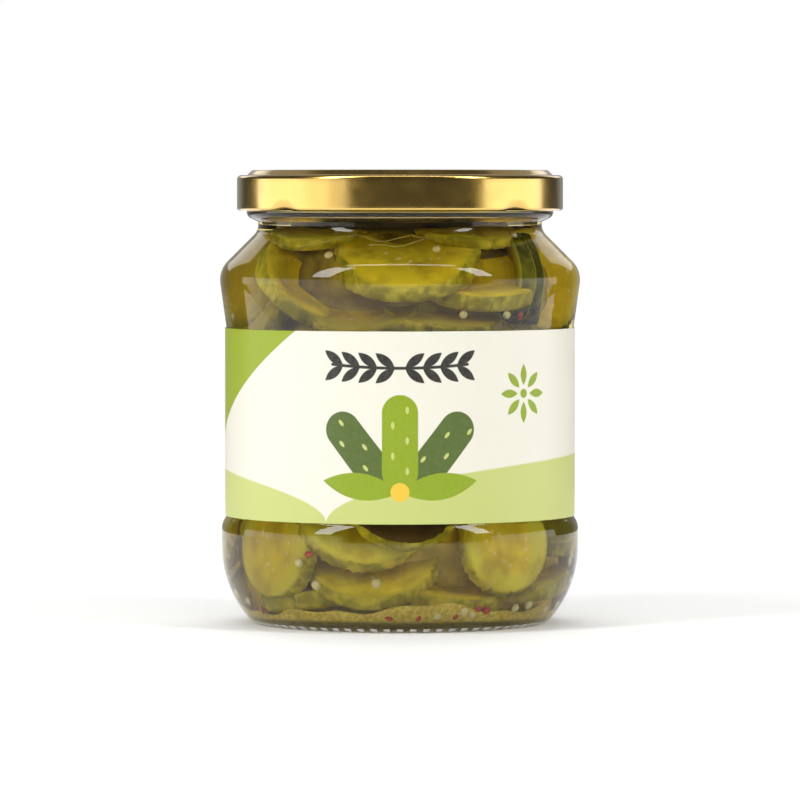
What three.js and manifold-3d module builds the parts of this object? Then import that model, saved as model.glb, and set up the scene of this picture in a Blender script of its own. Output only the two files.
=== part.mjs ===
// A round glass pickle jar: clear glass body, gold lug lid, wrap-round paper label and a heap of
// gherkin slices that fills it. Millimetres, +Z up. The jar stands on its foot ring at Z = 0, its
// axis is Z and its front faces -Y. Azimuths are in degrees, 0 at the front and positive towards +X.
import * as THREE from 'three';
import { mergeVertices } from 'three/addons/utils/BufferGeometryUtils.js';
import Module from 'manifold-3d';

// Glass body, outside
const BULGE_RADIUS = 48.2; // the lower bumper roll, just under the label
const SHOULDER_RADIUS = 48.5; // the upper bumper roll, the widest place
const PANEL_RADIUS = 46.8; // the recessed panel that carries the label
const NECK_RADIUS = 38.2;
const BEAD_RADIUS = 41.3; // the transfer bead just under the lid
const FINISH_RADIUS = 39.3; // the mouth's outside, inside the lid
const FOOT_INNER_RADIUS = 34.2;
const HEEL_RADIUS = 30; // of the big curve from the foot up to the lower roll
const HEEL_CORNER = 4.3; // of the small curve from the heel into the foot ring
const HEEL_END = -40.5; // angle where the big heel curve gives way to the small one
const ROLL_CURVE = 6.6; // of the lower roll's upper side, up to the panel
const SHOULDER_CURVE = 7;
const SHOULDER_START = -8; // angle where the shoulder's curve leaves the panel's slope
const SHOULDER_SLOPE = 45; // angle of the slope from the shoulder up to the neck
const NECK_CURVE = 4;
const BULGE_LOW = 21;
const BULGE_HIGH = 24.8;
const PANEL_HIGH = 79.8;
const SHOULDER_HEIGHT = 92.5;
const BEAD_HEIGHT = 110.8;
const BEAD_FALL = 2.7; // from the bead's middle down to where the neck is straight
const RIM_HEIGHT = 121.3;
const RIM_CHAMFER = 1;
const PUSH_UP = 3; // how far the underside is hollowed at its middle

// Glass body, inside
const WALL = 2.7;
const SHOULDER_WALL = 2.9;
const FLOOR_MIDDLE = 5.8; // height of the inside floor on the axis
const FLOOR_EDGE = 3.4; // and where it meets the heel
const MOUTH_RADIUS = 35.6;

// Lid
const LID_RADIUS = 43.9;
const LID_TOP = 121.95;
const LID_SHOULDER = 120.6; // the lower step round the outside of the top
const LID_BOTTOM = 111.1;
const LID_THICKNESS = 0.35;
const LID_RING_OUTER = 39.8; // the raised ring over the mouth's rim
const LID_RING_INNER = 34.6;
const LID_PANEL = 121.2; // the flat middle of the top
const LID_SLOPE = 1.4; // how far each side of the ring leans out
const LID_CORNER = 1.1;
const LID_CURL = 0.75; // radius of the rolled lower edge
const LUG_COUNT = 4;
const LUG_FIRST_AZIMUTH = 45;
const LUG_WIDTH = 13; // along the edge
const LUG_DENT = 0.9; // how far the skirt is pressed in at a lug
const LUG_RISE = 0.6; // how far the edge rises there
const LUG_HEIGHT = 3.2; // how far up the skirt the dent reaches
const LUG_REACH = 3; // how far in from the skirt it does

// Label
const LABEL_GAP = 0.15; // from the glass to the paper
const LABEL_THICKNESS = 0.2;
const LABEL_LOW = 29.1;
const LABEL_HIGH = 79.6;
const LABEL_SEAM = 11; // bare glass between the label's two ends, at the back

// Gherkin slices
const SLICE_THICKNESS = 5;
const SLICE_RADIUS_SMALL = 13;
const SLICE_RADIUS_LARGE = 18;
const SLICE_SIDES = 9;
const SLICE_BULGE = 0.5; // how far the rim stands out at mid thickness
const SLICE_CLEARANCE = 0.45; // from a slice's edge to the glass
const HEAP_LOW = 9; // the lowest row starts here
const HEAP_HIGH = 112; // no slice stands higher
const SEEDED_HIGH = 100; // nor does a seeded one stand higher than this
const ROW_SPACING = 10.5;
const SLICES_PER_ROW = 7;
const TRIES_PER_SLICE = 16;
const PLACE_JITTER = 0.4; // of the spacing, either way
const FACE_TURN = 60; // most that a face turns away from the glass, either way
const FACE_PITCH_LOW = -30;
const FACE_PITCH_HIGH = 85;
const MOST_SHARED_POINTS = 2; // a slice that runs further into its neighbours is left out
const HEAP_SEED = 4711;
const CORE_HIGH = 110;
const CORE_GAP = 15; // from the heap's core to the glass where that is bare
const CORE_HIDDEN_GAP = 6.8; // and behind the label
const CORE_HIDDEN_LOW = 36; // the heights between which the core is that thick
const CORE_HIDDEN_HIGH = 73;
const CORE_SLOPE = 7; // height over which it grows from the one to the other
const CORE_RINGS = 3; // evenly spaced in each of the core's two bare parts

// Points tested along a slice's rim against the glass, and on rings of its faces against its neighbours
const FIT_POINTS = 12;
const FIT_STEPS = 16;
const SHARED_POINTS = 6;
const SHARED_RINGS = [0.35, 0.7, 1];

const BODY_SEGMENTS = 56;
const LID_SEGMENTS = 60;
const CORE_SEGMENTS = 18;

// Slices chosen by hand where the front of the glass shows them: where the middle is (azimuth,
// height), how large it is, and which way its face looks (azimuth, and pitch above the horizon).
const FRONT_SLICES = [
  { azimuth: 42, height: 23, radius: 13.4, faceAzimuth: 34, facePitch: 6 },
  { azimuth: -13, height: 18, radius: 17, faceAzimuth: -8, facePitch: 53 },
  { azimuth: 1, height: 35.5, radius: 16.5, faceAzimuth: 4, facePitch: 33 },
  { azimuth: -51, height: 22, radius: 14, faceAzimuth: -57, facePitch: 8 },
  { azimuth: -46, height: 11.5, radius: 15, faceAzimuth: -60, facePitch: 76 },
  { azimuth: 24, height: 12.5, radius: 16, faceAzimuth: 34, facePitch: 70 },
  { azimuth: 4, height: 96, radius: 18, faceAzimuth: 0, facePitch: 67 },
  { azimuth: -50, height: 90, radius: 15.5, faceAzimuth: 42, facePitch: 52 },
  { azimuth: 38, height: 90.5, radius: 14, faceAzimuth: 28, facePitch: 72 },
  { azimuth: 59, height: 92.5, radius: 11, faceAzimuth: -62, facePitch: 8 },
  { azimuth: 67, height: 92, radius: 11, faceAzimuth: -66, facePitch: 4 },
  { azimuth: 90, height: 92, radius: 14, faceAzimuth: 40, facePitch: 12 },
  { azimuth: -52, height: 102, radius: 13.5, faceAzimuth: -32, facePitch: 78 },
  { azimuth: 42, height: 103, radius: 13.5, faceAzimuth: 20, facePitch: 76 },
  { azimuth: 20, height: 83, radius: 15, faceAzimuth: 30, facePitch: 70 },
  { azimuth: -16, height: 83, radius: 14, faceAzimuth: -22, facePitch: 66 },
  { azimuth: -76, height: 82, radius: 14, faceAzimuth: -78, facePitch: 40 },
  { azimuth: -88, height: 90, radius: 14, faceAzimuth: -60, facePitch: 25 },
];

const wasm = await Module();
wasm.setup();

const radians = THREE.MathUtils.degToRad;
const degrees = THREE.MathUtils.radToDeg;

// Points along an arc in the (radius, height) plane, from one angle to another in degrees.
function arc(radius, height, curve, from, to, steps) {
  return Array.from({ length: steps + 1 }, (_, i) => {
    const angle = radians(from + ((to - from) * i) / steps);
    return new THREE.Vector2(radius + curve * Math.cos(angle), height + curve * Math.sin(angle));
  });
}

const point = (radius, height) => new THREE.Vector2(radius, height);

// Turns an outline in the (radius, height) plane about Z.
function turned(outline, segments) {
  return new THREE.LatheGeometry(outline, segments).rotateX(Math.PI / 2);
}

// The inside of the glass, from the mouth's rim down to the middle of the floor.
function insideOutline() {
  const shoulderCentre = SHOULDER_RADIUS - SHOULDER_CURVE;
  const shoulderInside = SHOULDER_CURVE - SHOULDER_WALL;
  const neckCentre = NECK_RADIUS + NECK_CURVE;
  const neckInside = NECK_CURVE + SHOULDER_WALL;
  const heelCentre = BULGE_RADIUS - HEEL_RADIUS;
  const heelInside = HEEL_RADIUS - WALL;
  const heelStart = degrees(Math.asin((FLOOR_EDGE - BULGE_LOW) / heelInside));
  return [
    point(MOUTH_RADIUS, RIM_HEIGHT - RIM_CHAMFER),
    ...arc(neckCentre, neckCentreHeight(), neckInside, 180, 180 + SHOULDER_SLOPE, 2),
    ...arc(shoulderCentre, SHOULDER_HEIGHT, shoulderInside, SHOULDER_SLOPE, 0, 2),
    point(PANEL_RADIUS - WALL, PANEL_HIGH),
    point(PANEL_RADIUS - WALL, panelLow()),
    point(BULGE_RADIUS - WALL, BULGE_HIGH),
    ...arc(heelCentre, BULGE_LOW, heelInside, 0, heelStart, 4),
    point(0, FLOOR_MIDDLE),
  ];
}

// Height of the neck curve's centre, so that the slope between the two curves touches both.
function neckCentreHeight() {
  const slope = radians(SHOULDER_SLOPE);
  const curves = SHOULDER_CURVE + NECK_CURVE;
  const across = SHOULDER_RADIUS - NECK_RADIUS - curves + curves * Math.cos(slope);
  return SHOULDER_HEIGHT + curves * Math.sin(slope) + across / Math.tan(slope);
}

// Angle at which the lower roll's upper side meets the panel.
function rollEnd() {
  return degrees(Math.acos(1 - (BULGE_RADIUS - PANEL_RADIUS) / ROLL_CURVE));
}

function panelLow() {
  return BULGE_HIGH + ROLL_CURVE * Math.sin(radians(rollEnd()));
}

// The hollow under the jar, a shallow dome from the axis out to the foot ring.
function pushUp() {
  const dome = (FOOT_INNER_RADIUS ** 2 + PUSH_UP ** 2) / (2 * PUSH_UP);
  const edge = 90 - degrees(Math.asin(FOOT_INNER_RADIUS / dome));
  return [point(0, PUSH_UP), ...arc(0, PUSH_UP - dome, dome, 90, edge, 2).slice(1)];
}

// The outside of the glass, from the middle of the underside up to the mouth's rim.
function outsideOutline() {
  const heelCentre = BULGE_RADIUS - HEEL_RADIUS;
  const cornerCentre = heelCentre + (HEEL_RADIUS - HEEL_CORNER) * Math.cos(radians(HEEL_END));
  const shoulderCentre = SHOULDER_RADIUS - SHOULDER_CURVE;
  const neckCentre = NECK_RADIUS + NECK_CURVE;
  return [
    ...pushUp(),
    ...arc(cornerCentre, HEEL_CORNER, HEEL_CORNER, -90, HEEL_END, 3).slice(0, -1),
    ...arc(heelCentre, BULGE_LOW, HEEL_RADIUS, HEEL_END, 0, 6),
    ...arc(BULGE_RADIUS - ROLL_CURVE, BULGE_HIGH, ROLL_CURVE, 0, rollEnd(), 3),
    point(PANEL_RADIUS, PANEL_HIGH),
    ...arc(shoulderCentre, SHOULDER_HEIGHT, SHOULDER_CURVE, SHOULDER_START, SHOULDER_SLOPE, 5),
    ...arc(neckCentre, neckCentreHeight(), NECK_CURVE, 180 + SHOULDER_SLOPE, 180, 2),
    point(NECK_RADIUS, BEAD_HEIGHT - BEAD_FALL),
    ...arc(FINISH_RADIUS, BEAD_HEIGHT, BEAD_RADIUS - FINISH_RADIUS, -60, 90, 4),
    point(FINISH_RADIUS, RIM_HEIGHT - RIM_CHAMFER),
    point(FINISH_RADIUS - RIM_CHAMFER, RIM_HEIGHT),
    point(MOUTH_RADIUS + RIM_CHAMFER, RIM_HEIGHT),
  ];
}

function glassGeometry() {
  return turned([...outsideOutline(), ...insideOutline()], BODY_SEGMENTS);
}

// One side of the lid's sheet, from the skirt up over the stepped shoulder and the raised ring to the
// middle of the flat top. The inner side lies one thickness deeper.
function lidSide(depth) {
  return [
    point(LID_RADIUS - depth, LID_BOTTOM + LUG_HEIGHT),
    ...arc(LID_RADIUS - LID_CORNER, LID_SHOULDER - LID_CORNER, LID_CORNER - depth, 0, 90, 3),
    point(LID_RING_OUTER + LID_SLOPE, LID_SHOULDER - depth),
    point(LID_RING_OUTER, LID_TOP - depth),
    point(LID_RING_INNER, LID_TOP - depth),
    point(LID_RING_INNER - LID_SLOPE, LID_PANEL - depth),
    point(0, LID_PANEL - depth),
  ];
}

// The pressed lid: its inner side, the rolled lower edge and its outer side.
function lidOutline() {
  const curl = arc(LID_RADIUS - LID_CURL, LID_BOTTOM + LID_CURL, LID_CURL, -270, 0, 6);
  return [...lidSide(LID_THICKNESS).reverse(), ...curl, ...lidSide(0)];
}

// Presses the skirt in and its edge up at each lug.
function pressLugs(geometry) {
  const position = geometry.getAttribute('position');
  const spacing = (2 * Math.PI) / LUG_COUNT;
  for (let i = 0; i < position.count; i += 1) {
    const [x, y, z] = [position.getX(i), position.getY(i), position.getZ(i)];
    const radius = Math.hypot(x, y);
    const turn = Math.atan2(y, x) - radians(LUG_FIRST_AZIMUTH);
    const away = Math.abs(turn - spacing * Math.round(turn / spacing)) * LID_RADIUS;
    if (radius < LID_RADIUS - LUG_REACH || away > LUG_WIDTH / 2) continue;
    const along = Math.cos((Math.PI * away) / LUG_WIDTH) ** 2;
    const down = THREE.MathUtils.clamp((LID_BOTTOM + LUG_HEIGHT - z) / LUG_HEIGHT, 0, 1);
    const pressed = (radius - LUG_DENT * along * down) / radius;
    position.setXYZ(i, x * pressed, y * pressed, z + LUG_RISE * along * down);
  }
  return geometry;
}

// The paper strip round the panel, open at the back.
function labelGeometry() {
  const inner = PANEL_RADIUS + LABEL_GAP;
  const outer = inner + LABEL_THICKNESS;
  const half = Math.PI - LABEL_SEAM / 2 / outer;
  const front = -Math.PI / 2;
  const strip = new THREE.Shape();
  strip.absarc(0, 0, outer, front - half, front + half, false);
  strip.absarc(0, 0, inner, front + half, front - half, true);
  return new THREE.ExtrudeGeometry(strip, {
    depth: LABEL_HIGH - LABEL_LOW,
    bevelEnabled: false,
    curveSegments: BODY_SEGMENTS / 2,
  }).translate(0, 0, LABEL_LOW);
}

// A repeatable stream of numbers from 0 to 1.
function seededDraw(seed) {
  const modulus = 2147483647;
  let state = seed;
  return () => {
    state = (state * 16807) % modulus;
    return state / modulus;
  };
}

// Inside radius of the glass at a height.
function insideRadius(height) {
  const wall = insideOutline();
  for (let i = 1; i < wall.length; i += 1) {
    const [above, below] = [wall[i - 1], wall[i]];
    if (height <= above.y && height >= below.y && above.y > below.y) {
      return below.x + ((above.x - below.x) * (height - below.y)) / (above.y - below.y);
    }
  }
  return 0;
}

// The level direction that an azimuth points in.
function heading(azimuth) {
  return new THREE.Vector3(Math.sin(radians(azimuth)), -Math.cos(radians(azimuth)), 0);
}

// The slice's face direction and two directions across its face.
function sliceAxes(slice) {
  const pitch = radians(slice.facePitch);
  const face = heading(slice.faceAzimuth).multiplyScalar(Math.cos(pitch));
  face.z = Math.sin(pitch);
  const across = heading(slice.faceAzimuth + 90);
  return { face, across, up: new THREE.Vector3().crossVectors(face, across) };
}

// Points on the rims of both faces, about the slice's middle.
function rimPoints(slice, axes, count) {
  return Array.from({ length: 2 * count }, (_, i) => {
    const angle = (2 * Math.PI * i) / count;
    const side = (i < count ? 0.5 : -0.5) * SLICE_THICKNESS;
    return new THREE.Vector3()
      .addScaledVector(axes.across, slice.radius * Math.cos(angle))
      .addScaledVector(axes.up, slice.radius * Math.sin(angle))
      .addScaledVector(axes.face, side);
  });
}

// Radius of the heap's core, which stands back where the glass is bare so that the slices show in depth.
function coreRadius(height) {
  const away = Math.max(CORE_HIDDEN_LOW - height, height - CORE_HIDDEN_HIGH, 0);
  const share = Math.min(away / CORE_SLOPE, 1);
  return insideRadius(height) - THREE.MathUtils.lerp(CORE_HIDDEN_GAP, CORE_GAP, share);
}

// Whether a slice's rim runs into the core, so that the two hold together.
function reachesCore(slice) {
  return rimPoints(slice, slice, FIT_POINTS).some((p) => {
    const at = p.add(slice.centre);
    return at.z > HEAP_LOW && at.z < CORE_HIGH && Math.hypot(at.x, at.y) < coreRadius(at.z);
  });
}

// Slides a slice outwards along its azimuth until its rim meets the glass. Null where it can't fit or
// stands clear of the core.
function pressToGlass(slice, highest) {
  const axes = sliceAxes(slice);
  const rim = rimPoints(slice, axes, FIT_POINTS);
  const out = heading(slice.azimuth);
  const fits = (depth) => rim.every((p) => {
    const at = p.clone().addScaledVector(out, depth);
    const height = at.z + slice.height;
    return height <= highest && Math.hypot(at.x, at.y) <= insideRadius(height) - SLICE_CLEARANCE;
  });
  let [near, far] = [0, SHOULDER_RADIUS];
  if (!fits(near)) return null;
  for (let i = 0; i < FIT_STEPS; i += 1) {
    const middle = (near + far) / 2;
    if (fits(middle)) near = middle;
    else far = middle;
  }
  const pressed = { ...slice, ...axes, centre: out.multiplyScalar(near).setZ(slice.height) };
  return reachesCore(pressed) ? pressed : null;
}

// How many test points of one slice lie inside another.
function sharedPoints(slice, other) {
  const tests = SHARED_RINGS.flatMap((share) =>
    rimPoints({ ...slice, radius: slice.radius * share }, slice, SHARED_POINTS));
  return tests.filter((p) => {
    const offset = p.add(slice.centre).sub(other.centre);
    const through = offset.dot(other.face);
    const outwards = Math.sqrt(Math.max(0, offset.lengthSq() - through * through));
    return Math.abs(through) < SLICE_THICKNESS / 2 && outwards < other.radius;
  }).length;
}

// A seeded slice near one place of a row.
function drawSlice(row, place, between) {
  const stagger = (row % 2) / 2;
  const azimuth = (360 / SLICES_PER_ROW) * (place + stagger + between(-PLACE_JITTER, PLACE_JITTER));
  return {
    azimuth,
    height: HEAP_LOW + ROW_SPACING * (row + 0.5 + between(-PLACE_JITTER, PLACE_JITTER)),
    radius: between(SLICE_RADIUS_SMALL, SLICE_RADIUS_LARGE),
    faceAzimuth: azimuth + between(-FACE_TURN, FACE_TURN),
    facePitch: between(FACE_PITCH_LOW, FACE_PITCH_HIGH),
  };
}

// Of several draws for one place, the slice that runs least into those already placed.
function bestSlice(row, place, between, placed) {
  let [best, least] = [null, MOST_SHARED_POINTS + 1];
  for (let i = 0; i < TRIES_PER_SLICE; i += 1) {
    const slice = pressToGlass(drawSlice(row, place, between), SEEDED_HIGH);
    if (!slice) continue;
    const shared = placed.reduce((sum, other) => sum + sharedPoints(slice, other), 0);
    if (shared < least) [best, least] = [slice, shared];
  }
  return best;
}

// Lines the wall of the jar with slices: those chosen by hand, then seeded ones row by row.
function placeSlices() {
  const draw = seededDraw(HEAP_SEED);
  const between = (low, high) => low + (high - low) * draw();
  const placed = FRONT_SLICES.map((slice) => pressToGlass(slice, HEAP_HIGH)).filter(Boolean);
  const rows = Math.floor((SEEDED_HIGH - HEAP_LOW) / ROW_SPACING);
  for (let row = 0; row < rows; row += 1) {
    for (let place = 0; place < SLICES_PER_ROW; place += 1) {
      const best = bestSlice(row, place, between, placed);
      if (best) placed.push(best);
    }
  }
  return placed;
}

// One slice as a low round prism with its rim bulging out at mid thickness.
function sliceGeometry(slice) {
  const half = SLICE_THICKNESS / 2;
  const rim = slice.radius - SLICE_BULGE;
  const outline = [
    point(0, -half),
    point(rim, -half),
    point(slice.radius, 0),
    point(rim, half),
    point(0, half),
  ];
  const place = new THREE.Matrix4().makeBasis(slice.across, slice.up, slice.face);
  return turned(outline, SLICE_SIDES).applyMatrix4(place.setPosition(slice.centre));
}

function toSolid(geometry) {
  geometry.deleteAttribute('normal');
  geometry.deleteAttribute('uv');
  const merged = mergeVertices(geometry, 1e-4);
  const vertProperties = merged.getAttribute('position').array;
  const triVerts = new Uint32Array(merged.index.array);
  return new wasm.Manifold(new wasm.Mesh({ numProp: 3, vertProperties, triVerts }));
}

function toGeometry(solid) {
  const mesh = solid.getMesh();
  const geometry = new THREE.BufferGeometry();
  geometry.setAttribute('position', new THREE.BufferAttribute(mesh.vertProperties, 3));
  geometry.setIndex(new THREE.BufferAttribute(mesh.triVerts, 1));
  geometry.computeVertexNormals();
  return geometry;
}

// Heights from one to another, evenly spaced.
function heights(low, high, count) {
  return Array.from({ length: count + 1 }, (_, i) => low + ((high - low) * i) / count);
}

// The middle of the heap, a plain form that stands clear of the glass all round.
function coreGeometry() {
  const wall = [
    ...heights(HEAP_LOW, CORE_HIDDEN_LOW - CORE_SLOPE, CORE_RINGS),
    CORE_HIDDEN_LOW,
    CORE_HIDDEN_HIGH,
    ...heights(CORE_HIDDEN_HIGH + CORE_SLOPE, CORE_HIGH, CORE_RINGS),
  ].map((height) => point(coreRadius(height), height));
  return turned([point(0, HEAP_LOW), ...wall, point(0, CORE_HIGH)], CORE_SEGMENTS);
}

// Core and slices as one body. A scrap that touches nothing is dropped.
function heapGeometry() {
  const joined = placeSlices().reduce(
    (heap, slice) => heap.add(toSolid(sliceGeometry(slice))),
    toSolid(coreGeometry()),
  );
  const bodies = joined.decompose().sort((a, b) => b.volume() - a.volume());
  return toGeometry(bodies[0]);
}

const glassMaterial = new THREE.MeshPhysicalMaterial({
  color: 0xf2f5f0, roughness: 0.03, metalness: 0, transmission: 1, ior: 1.5, thickness: WALL,
});
const lidMaterial = new THREE.MeshStandardMaterial({ color: 0xc9a03a, roughness: 0.25, metalness: 1 });
const labelMaterial = new THREE.MeshStandardMaterial({ color: 0xf3f0e4, roughness: 0.6, metalness: 0 });
const gherkinMaterial = new THREE.MeshStandardMaterial({ color: 0x9a8f24, roughness: 0.45, metalness: 0 });

function named(name, geometry, material) {
  const mesh = new THREE.Mesh(geometry, material);
  mesh.name = name;
  return mesh;
}

const jar = new THREE.Group();
jar.add(
  named('glass_jar', glassGeometry(), glassMaterial),
  named('lid', pressLugs(turned(lidOutline(), LID_SEGMENTS)), lidMaterial),
  named('label', labelGeometry(), labelMaterial),
  named('gherkin_slices', heapGeometry(), gherkinMaterial),
);

export default jar;
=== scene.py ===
import math

import bpy
import numpy as np
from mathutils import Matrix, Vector


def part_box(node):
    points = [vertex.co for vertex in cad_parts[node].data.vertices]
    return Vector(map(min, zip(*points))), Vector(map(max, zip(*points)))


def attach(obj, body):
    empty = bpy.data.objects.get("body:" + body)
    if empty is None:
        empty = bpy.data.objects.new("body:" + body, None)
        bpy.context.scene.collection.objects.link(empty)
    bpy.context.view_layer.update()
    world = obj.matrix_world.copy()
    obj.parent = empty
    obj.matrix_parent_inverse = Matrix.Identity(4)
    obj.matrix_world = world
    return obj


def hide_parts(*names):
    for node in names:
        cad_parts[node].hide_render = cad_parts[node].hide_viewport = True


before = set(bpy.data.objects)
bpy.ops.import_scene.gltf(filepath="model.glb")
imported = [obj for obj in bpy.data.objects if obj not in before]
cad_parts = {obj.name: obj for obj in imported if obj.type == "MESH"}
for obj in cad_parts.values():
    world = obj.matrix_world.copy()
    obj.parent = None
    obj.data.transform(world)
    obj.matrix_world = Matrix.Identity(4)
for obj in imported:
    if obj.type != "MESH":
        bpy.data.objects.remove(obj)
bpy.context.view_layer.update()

# Looks of a pickle jar: glass, gold lid, printed label, gherkin slices, brine and spices.
# Lengths are millimetres unless a name says metres. Azimuths are degrees, 0 at the front (-Y) and
# positive towards +X.
METRE = 1000

# Glass body, outside
BULGE_RADIUS = 48.2
SHOULDER_RADIUS = 48.5
PANEL_RADIUS = 46.8
NECK_RADIUS = 38.2
BEAD_RADIUS = 41.3
FINISH_RADIUS = 39.3
FOOT_INNER_RADIUS = 34.2
HEEL_RADIUS = 30
HEEL_CORNER = 4.3
HEEL_END = -40.5
ROLL_CURVE = 6.6
SHOULDER_CURVE = 7
SHOULDER_START = -8
SHOULDER_SLOPE = 45
NECK_CURVE = 4
BULGE_LOW = 21
BULGE_HIGH = 24.8
ROLL_END = math.degrees(math.acos(1 - (BULGE_RADIUS - PANEL_RADIUS) / ROLL_CURVE))
PANEL_LOW = BULGE_HIGH + ROLL_CURVE * math.sin(math.radians(ROLL_END))
PANEL_HIGH = 79.8
SHOULDER_HEIGHT = 92.5
BEAD_HEIGHT = 110.8
BEAD_FALL = 2.7
BEAD_START = -60
RIM_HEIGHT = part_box("glass_jar")[1].z * METRE
RIM_CHAMFER = 1
PUSH_UP = 3

# Glass body, inside
WALL = 2.7
SHOULDER_WALL = 2.9
FLOOR_MIDDLE = 5.8
FLOOR_EDGE = 3.4
MOUTH_RADIUS = 35.6

# Bars across the foot ring
FOOT_BARS = 72
FOOT_BAR_DEPTH = 0.35
FOOT_BAR_REACH = 1.2  # height up the heel where they fade out
FOOT_MARGIN = 0.1  # from the ring's inner edge, which stays flat
FROST_INNER = FOOT_INNER_RADIUS + 2
FROST_LOW = 0.1
FROST_HIGH = 0.9 * FOOT_BAR_REACH

SEGMENTS_PER_BAR = 8
GLASS_SEGMENTS = SEGMENTS_PER_BAR * FOOT_BARS
ARC_STEP = 4  # degrees between an arc's points
PLAIN_STEPS = (2, 2, 4)  # of the inside's arcs in the solid
DOME_STEPS = 6
BEAD_STEPS = 12


def columns(*parts):
    return np.column_stack(parts)


def points(*places):
    return np.array(places, float)


def arc(radius, height, curve, start, end, steps=None):
    """Points (radius, height) along an arc, its angles in degrees."""
    count = steps or max(2, math.ceil(abs(end - start) / ARC_STEP))
    angles = np.radians(np.linspace(start, end, count + 1))
    return columns(radius + curve * np.cos(angles), height + curve * np.sin(angles))


def neck_centre_height():
    """Height of the neck curve's centre where the slope touches both curves."""
    slope = math.radians(SHOULDER_SLOPE)
    curves = SHOULDER_CURVE + NECK_CURVE
    across = SHOULDER_RADIUS - NECK_RADIUS - curves + curves * math.cos(slope)
    return SHOULDER_HEIGHT + curves * math.sin(slope) + across / math.tan(slope)


def inside_outline(smooth=True, grow=0.0):
    """The inside of the glass from the mouth down to the floor's edge, with as few points as the solid
    has unless smooth. grow moves it out into the wall."""
    steps = [None] * 3 if smooth else PLAIN_STEPS
    wall, shoulder_wall = WALL - grow, SHOULDER_WALL - grow
    shoulder = SHOULDER_RADIUS - SHOULDER_CURVE
    heel, heel_curve = BULGE_RADIUS - HEEL_RADIUS, HEEL_RADIUS - wall
    heel_start = math.degrees(math.asin((FLOOR_EDGE - grow - BULGE_LOW) / heel_curve))
    return np.concatenate([
        points((MOUTH_RADIUS + grow, RIM_HEIGHT - RIM_CHAMFER)),
        arc(NECK_RADIUS + NECK_CURVE, neck_centre_height(), NECK_CURVE + shoulder_wall, 180,
            180 + SHOULDER_SLOPE, steps[0]),
        arc(shoulder, SHOULDER_HEIGHT, SHOULDER_CURVE - shoulder_wall, SHOULDER_SLOPE, 0, steps[1]),
        points((PANEL_RADIUS - wall, PANEL_HIGH), (PANEL_RADIUS - wall, PANEL_LOW),
               (BULGE_RADIUS - wall, BULGE_HIGH)),
        arc(heel, BULGE_LOW, heel_curve, 0, heel_start, steps[2]),
    ])


def outside_outline():
    """The outside of the glass, from the middle of the underside up to the rim."""
    heel = BULGE_RADIUS - HEEL_RADIUS
    corner = heel + (HEEL_RADIUS - HEEL_CORNER) * math.cos(math.radians(HEEL_END))
    dome = (FOOT_INNER_RADIUS ** 2 + PUSH_UP ** 2) / (2 * PUSH_UP)
    dome_edge = 90 - math.degrees(math.asin(FOOT_INNER_RADIUS / dome))
    shoulder = SHOULDER_RADIUS - SHOULDER_CURVE
    return np.concatenate([
        points((0, PUSH_UP)),
        arc(0, PUSH_UP - dome, dome, 90, dome_edge, DOME_STEPS)[1:],
        points(((FOOT_INNER_RADIUS + corner) / 2, 0)),
        arc(corner, HEEL_CORNER, HEEL_CORNER, -90, HEEL_END)[:-1],
        arc(heel, BULGE_LOW, HEEL_RADIUS, HEEL_END, 0),
        arc(BULGE_RADIUS - ROLL_CURVE, BULGE_HIGH, ROLL_CURVE, 0, ROLL_END),
        points((PANEL_RADIUS, PANEL_HIGH)),
        arc(shoulder, SHOULDER_HEIGHT, SHOULDER_CURVE, SHOULDER_START, SHOULDER_SLOPE),
        arc(NECK_RADIUS + NECK_CURVE, neck_centre_height(), NECK_CURVE, 180 + SHOULDER_SLOPE, 180),
        points((NECK_RADIUS, BEAD_HEIGHT - BEAD_FALL)),
        arc(FINISH_RADIUS, BEAD_HEIGHT, BEAD_RADIUS - FINISH_RADIUS, BEAD_START, 90, BEAD_STEPS),
        points((FINISH_RADIUS, RIM_HEIGHT - RIM_CHAMFER), (FINISH_RADIUS - RIM_CHAMFER, RIM_HEIGHT),
               (MOUTH_RADIUS + RIM_CHAMFER, RIM_HEIGHT)),
    ])


def cos_sin(degrees):
    return math.cos(math.radians(degrees)), math.sin(math.radians(degrees))


def full_turn(count):
    return 2 * np.pi * np.arange(count) / count


def level_ways(azimuths):
    """The level directions that azimuths in radians point in."""
    return columns(np.sin(azimuths), -np.cos(azimuths))


def polar(vertices):
    """Azimuth in radians and radius of each vertex."""
    x, y = vertices[:, 0], vertices[:, 1]
    return np.arctan2(x, -y), np.hypot(x, y)


def band(low, high, count):
    """Faces between the rings of vertices that start at low and at high."""
    here = np.arange(count)
    onward = (here + 1) % count
    return columns(low + here, low + onward, high + onward, high + here).tolist()


def cap(ring, middle, count):
    """Faces from a ring of vertices to one vertex in its middle."""
    here = np.arange(count)
    return columns(ring + here, ring + (here + 1) % count, np.full(count, middle)).tolist()


def swept(outline, ways):
    """Vertices of an outline carried round level directions, ring by ring."""
    return np.concatenate([columns(r * ways, np.full(len(ways), z)) for r, z in outline])


def turned(outline, segments):
    """Vertices and faces of an outline, from the axis back to the axis, turned about Z."""
    sides = swept(outline[1:-1], level_ways(full_turn(segments)))
    ends = [[0, 0, outline[0][1]], [0, 0, outline[-1][1]]]
    faces = []
    for low in range(0, len(sides) - segments, segments):
        faces += band(low, low + segments, segments)
    faces += [face[::-1] for face in cap(0, len(sides), segments)]
    faces += cap(len(sides) - segments, len(sides) + 1, segments)
    return np.concatenate([sides, ends]), faces


def joined(parts):
    """Vertices and faces of several meshes as one."""
    starts = np.cumsum([0] + [len(vertices) for vertices, _ in parts])
    faces = [[i + start for i in face] for (_, sides), start in zip(parts, starts) for face in sides]
    return np.concatenate([vertices for vertices, _ in parts]), faces


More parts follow.
